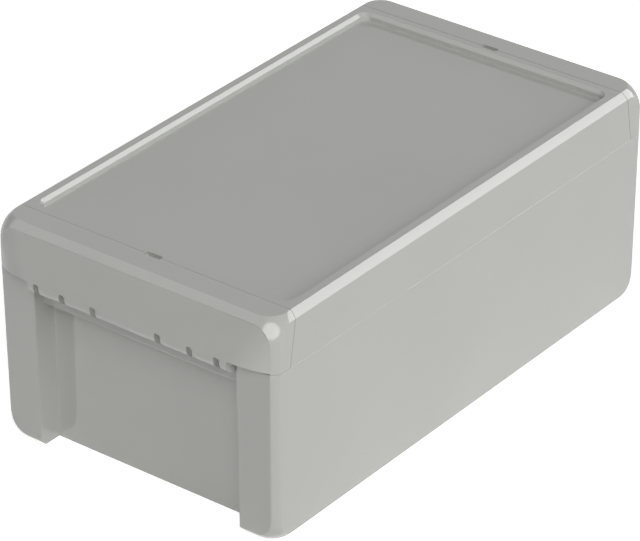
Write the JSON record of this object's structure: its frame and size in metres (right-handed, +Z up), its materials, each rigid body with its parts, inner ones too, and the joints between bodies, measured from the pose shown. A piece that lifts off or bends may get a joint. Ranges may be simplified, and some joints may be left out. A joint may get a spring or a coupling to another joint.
{
  "type": "project box",
  "caption": "Light grey moulded project box: deep base with corner columns, screwed lid with a sunken panel, and a hinged flap at each end over the lid screws.",
  "frame": {"origin": "middle of the underside of the base", "axes": "+X along the length, +Y across the width, +Z up out of the lid"},
  "size_m": [0.231, 0.125, 0.09],
  "materials": {
    "case_plastic": "satin moulded light grey",
    "seal_rubber": "matt black foamed seal",
    "screw_steel": "plain stainless",
    "insert_brass": "knurled brass",
    "washer_nylon": "natural nylon"
  },
  "bodies": {
    "case": {"base": "case_plastic", "lid": "case_plastic", "lid_seal": "seal_rubber", "lid_screw_left_front": "screw_steel", "lid_screw_left_back": "screw_steel", "lid_screw_right_front": "screw_steel", "lid_screw_right_back": "screw_steel", "insert_left_front": "insert_brass", "insert_left_back": "insert_brass", "insert_right_front": "insert_brass", "insert_right_back": "insert_brass", "washer_left_front": "washer_nylon", "washer_left_back": "washer_nylon", "washer_right_front": "washer_nylon", "washer_right_back": "washer_nylon"},
    "flap_left": {"end_flap_left": "case_plastic"},
    "flap_right": {"end_flap_right": "case_plastic"}
  },
  "joints": [
    {"name": "flap_left_hinge", "type": "hinge", "parent": "case", "child": "flap_left", "pos_m": [-0.1119, 0, 0.0695], "axis": [0, -1, 0], "range_deg": [0, 110]},
    {"name": "flap_right_hinge", "type": "hinge", "parent": "case", "child": "flap_right", "pos_m": [0.1119, 0, 0.0695], "axis": [0, 1, 0], "range_deg": [0, 110]}
  ]
}
